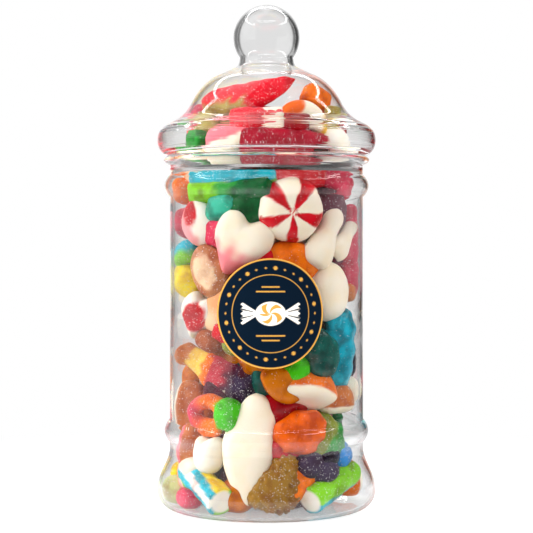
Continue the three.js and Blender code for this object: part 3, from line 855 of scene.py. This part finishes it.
FRONT_SWEETS = """
# In the lid.
strawberry -27 188 70.5 -9 20 0 1.03 sugar leafy strawberry leaf
strawberry -8 177.5 86 0 0 5 0.6 sugar plain strawberry
block 82 187 25 -12 -45 0 0.88 gloss plain orange
crescent 37 178.2 112 -8 0 1 1.12 foam banded deep_orange*2 cream*3 gold
ball 76 179 0 0 0 0 0.55 sugar plain leaf
block 6 176 0 -10 0 6 0.8 foam plain cream
ball 27 174 0 0 0 5 0.85 gloss plain deep_red
berry -76 178.5 30 -10 0 0 0.8 sugar plain rose
egg -60 174.5 70 0 0 2 0.6 sugar plain leaf
egg -30 167 84 0 0 0 0.85 foam split cream pink
shell -62 166 30 0 0 0 0.9 gloss plain green
strawberry 15 167 88 0 0 0 1.02 sugar plain crimson
egg 0 161 84 0 0 7 1.1 gloss plain crimson
egg 2 171 84 0 0 8 1.1 gloss plain crimson
ball 66 166 0 0 0 0 1 foam plain white_cream
# Under the rim.
longPencil -27 151.8 84.5 0 0 0 0.92 sugar_foam striped cyan lime*2 green*4 cyan*4
egg -62 157 60 0 0 0 0.8 foam fade cream peach
strawberry 33 152.5 95 0 0 2.2 1.05 sugar plain red
dome 66 149 20 0 0 0 0.8 sugar plain rose
ball -80 146.5 10 0 0 0 0.75 sugar plain orange
longPencil -29 146 87 0 0 2 0.9 gloss banded lime*2 green dark_green*2
shell -13 138 12 0 0 4.5 1.05 gloss plain dark_green
block -36 137.5 8 0 0 4 1.05 gloss plain sea_green
pinwheel 17.5 136.6 -4 0 0 0 1.02 foam_gloss wheel cream red
egg 60 137 10 0 0 3 0.85 sugar plain slate
egg -58 131.5 -12 0 32 0 0.85 foam_sugar blotched white_cream pink red
ball -88 132 0 0 0 0 0.9 sugar plain rose
shell -42 127 10 0 0 5 0.9 sugar plain rose
heart -20 121 28 0 0 0 1 foam fade cream pale_pink
block -78 116.5 -22 0 0 0 0.95 sugar fade cyan lime
bone 45 124.5 31 0 0 0 1.08 foam plain cream
bone 68 123.5 48 0 -12 0.5 0.8 foam plain cream
worm 82 118 2 0 0 0 1 sugar plain rose
ball -80 105 10 0 0 0 1.05 sugar plain yellow
dome -46 109 66 0 12 2 1.05 sugar cored tan pale_peach
egg 22 113 80 0 0 4 1.05 gloss plain orange
berry -4 114 0 0 0 5 0.9 gloss plain red
berry 64 116 0 0 0 5 0.9 gloss plain plum
egg 50 100 8 0 0 0 1.02 foam plain cream
smallHeart -58 88.5 18 0 28 0 1.02 foam_sugar cored white_cream red
egg -38 92 20 0 0 5 0.95 foam fade peach pale_peach
egg 2 92 40 0 0 4 1.1 sugar plain orange
block 24 88 -20 0 0 4 1.15 gloss plain dark_green
block -32 81.5 20 0 0 4 0.7 sugar plain red
ball 74 99 0 0 0 1 0.55 sugar plain brown_orange
# Below the label.
dolphin 63.5 73.5 4 0 0 0 1.08 gloss plain teal
egg 84 67 0 0 0 1 0.65 gloss plain dark_purple
berry -48 78 10 0 0 4 0.9 sugar plain brown
ball -26 76.5 10 0 0 5 0.6 sugar plain olive
egg 40 73 -24 0 0 0 0.95 gloss plain deep_teal
ball 21 66 0 0 0 3 0.95 gloss plain bright_green
egg 0 73 80 0 0 5 1 gloss plain amber
bottle -50 62.8 -67 0 22 0 1.18 sugar banded dark_purple*2 purple*2 plum raspberry*2 orange gold*2 brown_orange*2
block -1 61 80 0 0 7 0.9 gloss plain deep_teal
dome 11 59 34 0 0 3 0.82 gloss plain amber
dome 31.5 54.4 20 54 -22 0 1.2 foam_sugar faced cream orange
ball 78 54 0 0 0 0 0.8 foam plain cream
dome 62 48.5 28 84 -25 0 0.92 foam_sugar faced cream brown_orange
berry -50 53 60 0 0 8 1 gloss plain plum
dome -84 46.5 84 0 -35 0 0.9 foam_sugar faced cream brown_orange
dummy -46 44.8 0 0 4 0 1.03 sugar hooped rose orange bright_green
egg 11 46.5 70 0 0 7 1 gloss plain deep_red
fan 24.5 37.7 -14 0 0 0 1.05 gloss plain deep_orange
shell 45 34 58 0 0 0.8 1.3 sugar split green olive
drop -12.5 30.2 0 -5 4 1 1 foam plain cream
tooth -44 27.5 2 0 0 0 1 foam plain white_cream
dome -74 28.5 80 0 -35 0 0.85 sugar faced pink brown_orange
berry 13 31.5 0 0 0 4 1.1 gloss plain red
berry 30 23.6 -20 0 0 0 1 sugar plain purple
berry 44 26.5 -12 0 0 0 0.8 gloss plain dark_purple
berry 41 20.8 -14 0 0 0 0.9 sugar plain purple
ball 60 26.5 10 0 0 0 0.75 sugar plain blue
egg -66 18 60 0 0 2 0.75 foam fade cream pink
pencil -47 13.4 -72 0 -13 0 1.1 sugar_foam striped white_cream cyan yellow*2 lime plum lime*3 cyan white_cream
pencil 49 13.5 71 0 4 0 1.1 sugar_foam striped lime teal*3 plum*2 magenta*2 lime*2 white_cream
ball -80 9 0 0 0 0 0.8 sugar plain pale_green
berry -60 7 0 0 0 1 0.8 sugar plain rose
lump 8 16.5 16 0 0 0 1.06 rough plain gold_brown
egg -20 9 70 0 0 7 0.8 gloss plain amber
egg 20 16.5 60 0 0 3 0.85 gloss plain orange
"""

SIDE_ROWS = Sizes(
    first=12, rise=23.5, count=7, start=108, step=36, per_row=5, odd_row=4,
    stray_around=5, stray_height=4,
    forms="egg shell dome heart bear block berry bone pinwheel tooth ball pencil".split(),
)
SIDE_DEPTH = 2
SIDE_SIZE = Sizes(smallest=0.86, growth=0.2)
TOP_SWEETS = Sizes(height=172, start=115, step=43, count=4, lean=-10, size=0.9)
DEEP_ROWS = Sizes(
    first=12, rise=16.5, count=10, start=0, step=30, per_row=12, odd_row=12,
    stray_around=8, stray_height=5,
    forms="egg block berry ball dome shell".split(),
)
DEEP_DEPTH = 11.5
DEEP_SIZE = 1.15
# Painted shade: the deep layer's colours are darkened, as in the shadow inside the heap.
DEEP_PAINTED_SHADE = 0.6
FIRST_SEEDS = Sizes(front=10, side=200, deep=400, rows=20)
FINENESS = Sizes(front=1.0, side=0.8, deep=0.45)

# The looks that the seeded sweets draw from.
LOOKS = {
    "heart": ["foam fade cream pink", "foam_sugar cored white_cream red"],
    "pinwheel": ["foam_sugar wheel cream red"],
    "dome": ["foam_sugar faced white_cream orange", "sugar faced peach brown_orange"],
    "pencil": [
        "sugar_foam striped white_cream cyan yellow lime plum cyan lime white_cream",
        "sugar_foam striped lime teal*2 magenta lime*2 white_cream",
    ],
    "tooth": ["foam plain white_cream"],
    "bone": ["foam plain cream"],
}
ANY_LOOK = [
    "sugar plain strawberry", "sugar plain orange", "sugar plain teal", "gloss plain dark_green",
    "sugar plain yellow", "foam plain cream", "sugar split green olive", "gloss plain deep_red",
    "sugar plain purple", "foam fade cream pink", "gloss plain amber", "sugar plain rose",
]
DEEP_LOOKS = [
    "gloss plain deep_red", "sugar plain crimson", "gloss plain amber", "gloss plain dark_green",
    "sugar plain orange", "foam plain cream", "sugar plain plum", "gloss plain deep_teal",
    "sugar plain brown_orange",
]


def look(words):
    """The words of a look, with each colour as many times as it says."""
    names = []
    for word in words:
        name, _, times = word.partition("*")
        names += [name] * int(times or 1)
    return names


def draws_from(seed):
    """Even draws between 0 and 1, the same each time."""
    state = seed
    while True:
        state = (state * 1664525 + 1013904223) % 2 ** 32
        yield state / 2 ** 32


def one_of(options, draw):
    return options[int(next(draw) * len(options))]


def front_sweets():
    rows = [line.split() for line in FRONT_SWEETS.strip().splitlines()]
    return [[row[0], *map(float, row[1:8]), *look(row[8:])] for row in rows if row[0] != "#"]


def places(rows, draw):
    """The form, angle and height of each sweet of some rows, which are laid like bricks and stray a little."""
    for row in range(rows.count):
        odd = row % 2
        for place in range(rows.odd_row if odd else rows.per_row):
            form = one_of(rows.forms, draw)
            around = rows.start + rows.step * (place + 0.5 * odd) + (next(draw) - 0.5) * rows.stray_around
            yield form, around, rows.first + rows.rise * row + (next(draw) - 0.5) * rows.stray_height


def side_sweets():
    """The rows of sweets round the sides and the back, where the front's own list doesn't reach."""
    draw = draws_from(FIRST_SEEDS.rows)
    look_draw = draws_from(FIRST_SEEDS.rows + 1)
    sweets = []
    for form, around, height in places(SIDE_ROWS, draw):
        turn = (next(draw) - 0.5) * 180
        depth = next(draw) * SIDE_DEPTH
        size = SIDE_SIZE.smallest + next(draw) * SIDE_SIZE.growth
        words = one_of(LOOKS.get(form, ANY_LOOK), look_draw).split()
        sweets.append([form, around, height, turn, 0, 0, depth, size, *look(words)])
    for place in range(TOP_SWEETS.count):
        around = TOP_SWEETS.start + TOP_SWEETS.step * place
        turn = (next(draw) - 0.5) * 180
        where = [around, TOP_SWEETS.height, turn, TOP_SWEETS.lean, 0, 0, TOP_SWEETS.size]
        sweets.append(["egg", *where, *look(one_of(ANY_LOOK, look_draw).split())])
    return sweets


def deep_sweets():
    """A second layer all round, seen between the sweets at the wall."""
    draw = draws_from(FIRST_SEEDS.rows + 2)
    sweets = []
    for form, around, height in places(DEEP_ROWS, draw):
        words = one_of(DEEP_LOOKS, draw).split()
        turn = next(draw) * 180 - 90
        sweets.append([form, around, height, turn, 0, 0, DEEP_DEPTH, DEEP_SIZE, *look(words)])
    return sweets


ROOM = room_profile()


def room_radius(height):
    """The radius of the room inside at a height."""
    return np.interp(height, ROOM[:, 1], ROOM[:, 0])


def uneven(points, seed, size):
    """A smooth uneven value from -1 to 1 over the points, whose swells are about size across."""
    generator = np.random.default_rng(seed)
    total = np.zeros(len(points))
    for _ in range(WAVES):
        direction = generator.normal(size=3)
        direction *= TAU / (size * 1.4) / np.linalg.norm(direction) * generator.uniform(0.6, 1.5)
        total += np.sin(points @ direction + generator.uniform(0, TAU))
    return total / 4


def point_normals(points, faces):
    """Each point's outward direction, from the faces round it."""
    normals = np.zeros_like(points)
    for count in (3, 4):
        some = np.array([f for f in faces if len(f) == count])
        if len(some):
            a = points[some[:, count // 2]] - points[some[:, 0]]
            b = points[some[:, count - 1]] - points[some[:, count - 3]]
            cross = np.cross(a, b)
            for corner in range(count):
                np.add.at(normals, some[:, corner], cross)
    return normals / np.maximum(np.linalg.norm(normals, axis=1), 1e-9)[:, None]


def placed(sweet, seed, fine, shade=1.0):
    """One sweet in its place: a list of (points, faces, tints, slots) for its skins."""
    form, around, height, turn, lean, swing, depth, size, finish, pattern, *tones = sweet
    half_wide, half_tall, make = FORMS[form]
    first, second = (finish.split("_") * 2)[:2]
    # A shade below 1 darkens the colours: painted shade, for the sweets deep in the heap.
    tones = [shade * colour(tone) for tone in tones]
    slot, amount, swell = FINISHES[first]
    made = []
    for points, faces in make(fine):
        rough = uneven(points, seed, 4)
        tint, other = PATTERNS[pattern](points[:, 0] / half_wide, points[:, 2] / half_tall, points, tones, rough)
        lumps = amount * uneven(points, seed + 1, swell)
        points = points + point_normals(points, faces) * lumps[:, None]
        slots = [FINISHES[second][0] if other[face[0]] > 0.5 else slot for face in faces]
        made.append([points * size, faces, tint, slots])
    for part in made:
        part[0] = turn_about(turn_about(turn_about(part[0], "y", turn), "x", lean), "z", around + swing)
    away = np.array([math.sin(math.radians(around)), -math.cos(math.radians(around)), 0])
    everything = np.vstack([part[0] for part in made])
    lift = max(height, ROOM[0, 1] - everything[:, 2].min())
    limit = room_radius(everything[:, 2] + lift) - depth
    out = 0.0
    for _ in range(PRESSES):
        place = everything + away * out
        out -= np.max(np.hypot(place[:, 0], place[:, 1]) - limit)
    shift = away * out + np.array([0, 0, lift])
    return [(points + shift, faces, tint, slots) for points, faces, tint, slots in made]


def joined(parts):
    """The points, faces, tints and slots of several skins as one mesh."""
    points, faces, tints, slots = zip(*parts)
    starts = np.cumsum([0, *map(len, points)]).tolist()
    faces = [tuple(start + corner for corner in face) for start, some in zip(starts, faces) for face in some]
    return np.vstack(points), faces, np.vstack(tints), [slot for some in slots for slot in some]


def sugar_grains(heap):
    """Sugar crystals, one small eight-sided solid for each, over the sugared faces."""
    generator = np.random.default_rng(GRAINS.seed)
    corners = np.array([(1, 0, 0), (-1, 0, 0), (0, 1, 0), (0, -1, 0), (0, 0, 1), (0, 0, -1)], float)
    sides = [(0, 2, 4), (2, 1, 4), (1, 3, 4), (3, 0, 4), (2, 0, 5), (1, 2, 5), (3, 1, 5), (0, 3, 5)]
    spots = []
    for kind, (points, all_faces, tint, slots) in heap.items():
        chosen = [face for face, slot in zip(all_faces, slots) if slot == FINISHES["sugar"][0] and kind != "deep"]
        if not chosen:
            continue
        a, b, c = (points[[face[i] for face in chosen]] for i in (0, 1, 2))
        d = points[[face[-1] for face in chosen]]
        halves = np.cross(b - a, c - a), np.cross(c - a, d - a)
        area = 0.5 * (np.linalg.norm(halves[0], axis=1) + np.linalg.norm(halves[1], axis=1))
        picks = generator.choice(len(chosen), int(area.sum() * GRAINS.per_mm2), p=area / area.sum())
        s, t = generator.uniform(0, 1, (2, len(picks), 1))
        across, back = a[picks] * (1 - s) + b[picks] * s, d[picks] * (1 - s) + c[picks] * s
        spots.append(across * (1 - t) + back * t)
    spots = np.vstack(spots)
    reach = np.hypot(spots[:, 0], spots[:, 1])
    spots = spots[reach > room_radius(spots[:, 2]) - GRAINS.deepest]
    axes = np.linalg.qr(generator.normal(size=(len(spots), 3, 3)))[0]
    scale = generator.uniform(0.6, 1.3, (len(spots), 1, 3)) * GRAINS.size
    grains = spots[:, None, :] + (corners[None] * scale) @ axes
    faces = [tuple(6 * i + corner for corner in side) for i in range(len(spots)) for side in sides]
    return grains.reshape(-1, 3), faces


def core_solid():
    """The middle of the heap, lumpy with the sweets that don't show."""
    outline = spline(CORE_OUTLINE, 10)
    outline[:, 0] = np.maximum(outline[:, 0], 0)
    outline[0, 0] = outline[-1, 0] = 0
    points, faces = turned(outline, CORE_SIDES)
    inward = 1 - 0.06 * (1 + uneven(points, 5, 13))
    points[:, :2] *= inward[:, None]
    return points, faces


# ---- The label

def label_print(u, v):
    """The print of the label by place from its centre: a wrapped sweet in a ring of dots and fine rings."""
    reach, angle = np.hypot(u, v), np.arctan2(u, v)
    navy, gold, cream = colour("navy"), colour("label_gold"), colour("white_cream")
    tint = np.tile(navy, (len(u), 1))

    def lay(tone, share):
        tint[:] = blend(tint, tone, share)

    def within(value):
        """1 where value, in millimetres, is below 0."""
        return 1 - smooth(-PRINT.soft, PRINT.soft, value)

    lay(gold, within(PRINT.border - reach))
    lay(gold, within(np.abs(reach - PRINT.ring) - PRINT.ring_half))
    turns = angle / TAU * PRINT.dots
    along = (turns % 1 - 0.5) * TAU / PRINT.dots * PRINT.dot_ring
    dot_radius = np.where(np.floor(turns) % 3 == 0, PRINT.large_dot, PRINT.small_dot)
    lay(gold, within(np.hypot(along, reach - PRINT.dot_ring) - dot_radius))
    # The sweet's body, with a swirl on it.
    body = np.hypot(u / PRINT.body_wide, v / PRINT.body_tall)
    lay(cream, within((body - 1) * 5.5))
    swirl = np.sin(2.2 * np.arctan2(v, u) * 2 + 5.5 * body)
    lay(gold, within((body - 0.86) * 5.5) * smooth(0.1, 0.35, swirl))
    # Its two twisted ends, with pleats.
    out = np.abs(u) - PRINT.end_from
    flare = 1.1 + 0.62 * out
    scallop = PRINT.end_to + 0.5 * np.cos(np.abs(v) * 3.1)
    end = within(np.abs(v) - flare) * within(-out) * within(np.abs(u) - scallop)
    lay(cream, end)
    pleats = np.abs(np.sin(np.arctan2(v, out + 2.2) * 7))
    lay(navy, end * smooth(0.93, 0.99, pleats) * within(1.2 - out))
    for row, half in PRINT.lines:
        for side in (-1, 1):
            lay(gold, within(np.hypot(np.maximum(np.abs(u) - half, 0), v - side * row) - PRINT.line_half))
    return tint


def label_piece():
    inner, outer, radius = LABEL.inner, LABEL.outer, LABEL.radius
    middle = math.radians(LABEL.around)
    back, edge, front = 0.04, 0.045, 0.94

    def point(along, around):
        """The back in the first steps, then the edge, and then the front to its middle."""
        reach = radius * np.minimum(1, np.where(along < back, along / back, (1 - along) / front))
        u, v = reach * np.sin(around), reach * np.cos(around)
        level = np.where(along < edge, inner, outer)
        turn = middle + u / BODY_RADIUS
        return np.column_stack([level * np.sin(turn), -level * np.cos(turn), LABEL.height + v])

    points, faces = skin(point, LABEL.rings, LABEL.sides)
    turn = np.arctan2(points[:, 0], -points[:, 1]) - middle
    tint = label_print(turn * BODY_RADIUS, points[:, 2] - LABEL.height)
    return mesh_object("label_print", points, faces, [label_material()], tint)


# ---- The scene

def add_camera():
    data = bpy.data.cameras.new("camera")
    data.lens = CAMERA_LENS
    data.sensor_width = 36
    data.shift_y = CAMERA_SHIFT
    camera = add_object("camera", data)
    camera.location = (0, -CAMERA_DISTANCE, CAMERA_HEIGHT)
    camera.rotation_euler = (math.pi / 2, 0, 0)
    bpy.context.scene.camera = camera


def add_softbox(name, azimuth, elevation, distance, size, power):
    """A large lamp; azimuth 0 is towards the camera."""
    data = bpy.data.lights.new(name, "AREA")
    data.shape = "RECTANGLE"
    data.size, data.size_y = size
    data.energy = power
    lamp = add_object(name, data)
    turn, rise = math.radians(azimuth), math.radians(elevation)
    flat = distance * math.cos(rise)
    lamp.location = (flat * math.sin(turn), -flat * math.cos(turn), LAMP_AIM + distance * math.sin(rise))
    lamp.rotation_euler = (math.pi / 2 - rise, 0, turn)
    lamp.visible_camera = False
    lamp.visible_transmission = False
    lamp.visible_glossy = False


def add_world():
    """White to the camera. Rays bent by the clear plastic see grey with dark strips, which draw its edges. Rays
    that it mirrors see a pale band at each side and behind, and a bright strip overhead. The sweets see a soft
    sky."""
    world = bpy.data.worlds.new("studio")
    bpy.context.scene.world = world
    n = Nodes(world)
    path = n.add("ShaderNodeLightPath").outputs
    way = n.axes(n.add("ShaderNodeTexCoord").outputs["Generated"])
    height = way["Z"]
    around = n.math("ABSOLUTE", n.math("ARCTAN2", way["X"], n.math("MULTIPLY", way["Y"], -1.0)))

    def bright_strip(low, high):
        """Bright between two heights, which are the ray's rise from -1 to 1."""
        above = n.spread(height, low, low + STRIP_EDGE, 0, STRIP_GLOW)
        return n.math("MULTIPLY", above, n.spread(height, high - STRIP_EDGE, high, 1, 0))

    wave = n.math("COSINE", n.math("MULTIPLY", around, DARK_STRIPS))
    steep = n.spread(n.math("ABSOLUTE", height), 0.4, 0.7)
    strips = n.math("MAXIMUM", n.spread(wave, -0.7, 0.1), steep)
    seen_through = n.mix_numbers(strips, 0.15, 0.85)
    beside = n.spread(around, 0.70, 0.74, 0, 0.62)
    beyond = n.spread(around, 1.9, 2.1, 0, -0.4)
    behind = n.spread(around, 2.7, 2.95, 0, 0.7)
    front = n.spread(around, 0.8, 1.0, 1, 0)
    overhead = n.mix_numbers(front, bright_strip(*LOWER_STRIP), bright_strip(*HIGH_STRIP))
    dimmer_right = n.spread(way["X"], -0.1, 0.1, 1.1, 0.2)
    sides = n.math("MULTIPLY", n.math("ADD", beside, beyond), dimmer_right)
    mirrored = n.math("ADD", n.math("ADD", sides, behind), overhead)
    after_gloss = n.math("GREATER_THAN", path["Glossy Depth"], 0.5)
    after_diffuse = n.math("GREATER_THAN", path["Diffuse Depth"], 0.5)
    clear = n.mix_numbers(after_gloss, seen_through, mirrored)
    ambient = n.spread(height, -0.6, 0.8, 0.9, 1.6)
    strength = n.mix_numbers(path["Is Camera Ray"], n.mix_numbers(after_diffuse, clear, ambient), 1.0)
    background = n.add("ShaderNodeBackground", {"Color": (1, 1, 1, 1), "Strength": strength})
    n.add("ShaderNodeOutputWorld", {"Surface": background.outputs[0]})


def add_floor():
    """A pale floor that runs out into the white round it. The clear plastic mirrors less of it in front."""
    n = new_material("pale_floor")
    reach = n.add("ShaderNodeVectorMath", {0: n.place()}, operation="LENGTH").outputs["Value"]
    path = n.add("ShaderNodeLightPath").outputs
    seen = path["Is Camera Ray"]
    mirrored = n.math("GREATER_THAN", path["Glossy Depth"], 0.5)
    back = n.spread(n.axes(n.place())["Y"], -0.1, 0.1, 0.03, 0.5)
    round_jar = n.math("MAXIMUM", n.spread(reach, 0.12, 0.2, 0.4, 0), back)
    unseen = n.math("ADD", n.math("MULTIPLY", mirrored, round_jar), n.spread(mirrored, 0, 1, 0.65, 0))
    near_glow = n.math("MAXIMUM", n.math("MULTIPLY", seen, 0.74), n.math("MULTIPLY", unseen, 0.7))
    far_glow = n.math("MAXIMUM", seen, unseen)
    lit = n.add("ShaderNodeBsdfDiffuse", {"Color": (0.35, 0.35, 0.355, 1)})
    glow = n.add("ShaderNodeEmission", {"Color": (1, 1, 1, 1), "Strength": near_glow})
    near = n.add("ShaderNodeAddShader", {0: lit.outputs[0], 1: glow.outputs[0]})
    away = n.add("ShaderNodeEmission", {"Color": (1, 1, 1, 1), "Strength": far_glow})
    mixed = n.add("ShaderNodeMixShader", {0: n.spread(reach, 0.07, 0.3), 1: near.outputs[0], 2: away.outputs[0]})
    profile = [(radius, FLOOR_TOP) for radius in FLOOR_RADII] + [(FLOOR_RADII[-1], FLOOR_UNDER), (0, FLOOR_UNDER)]
    floor = mesh_object("floor", *turned(profile, FLOOR_SIDES), [n.finish(mixed)])


def build_object():
    jar = mesh_object("jar_shell", *turned(jar_profile()), [clear_plastic("jar_plastic")])
    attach(jar, "root")
    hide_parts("jar")
    lid = mesh_object("lid_shell", *turned(lid_profile()), [clear_plastic("lid_plastic")])
    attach(lid, "root")
    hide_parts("lid")
    label = label_piece()
    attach(label, "root")
    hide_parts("label")

    kinds = {}
    for seed, sweet in enumerate(front_sweets(), FIRST_SEEDS.front):
        kinds.setdefault(sweet[0], []).extend(placed(sweet, seed, FINENESS.front))
    for seed, sweet in enumerate(side_sweets(), FIRST_SEEDS.side):
        kinds.setdefault(sweet[0], []).extend(placed(sweet, seed, FINENESS.side))
    for seed, sweet in enumerate(deep_sweets(), FIRST_SEEDS.deep):
        kinds.setdefault("deep", []).extend(placed(sweet, seed, FINENESS.deep, DEEP_PAINTED_SHADE))
    heap = {kind: joined(parts) for kind, parts in sorted(kinds.items())}
    finishes = [foam_material(), sugared_material(), glossy_material()]
    grains = mesh_object("sugar_grains", *sugar_grains(heap), [crystal_material()], smooth_faces=False)
    core = mesh_object("sweets_core", *core_solid(), [core_material()])
    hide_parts("sweets")
    pieces = [
        mesh_object(f"sweets_{kind}", points, faces, finishes, tint, slots)
        for kind, (points, faces, tint, slots) in heap.items()
    ]
    for piece in [core, grains, *pieces]:
        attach(piece, "root")


add_camera()
add_world()
for lamp_name, settings in LAMPS.items():
    add_softbox(lamp_name, *settings)
add_floor()
build_object()
bpy.context.scene.view_settings.view_transform = "Standard"
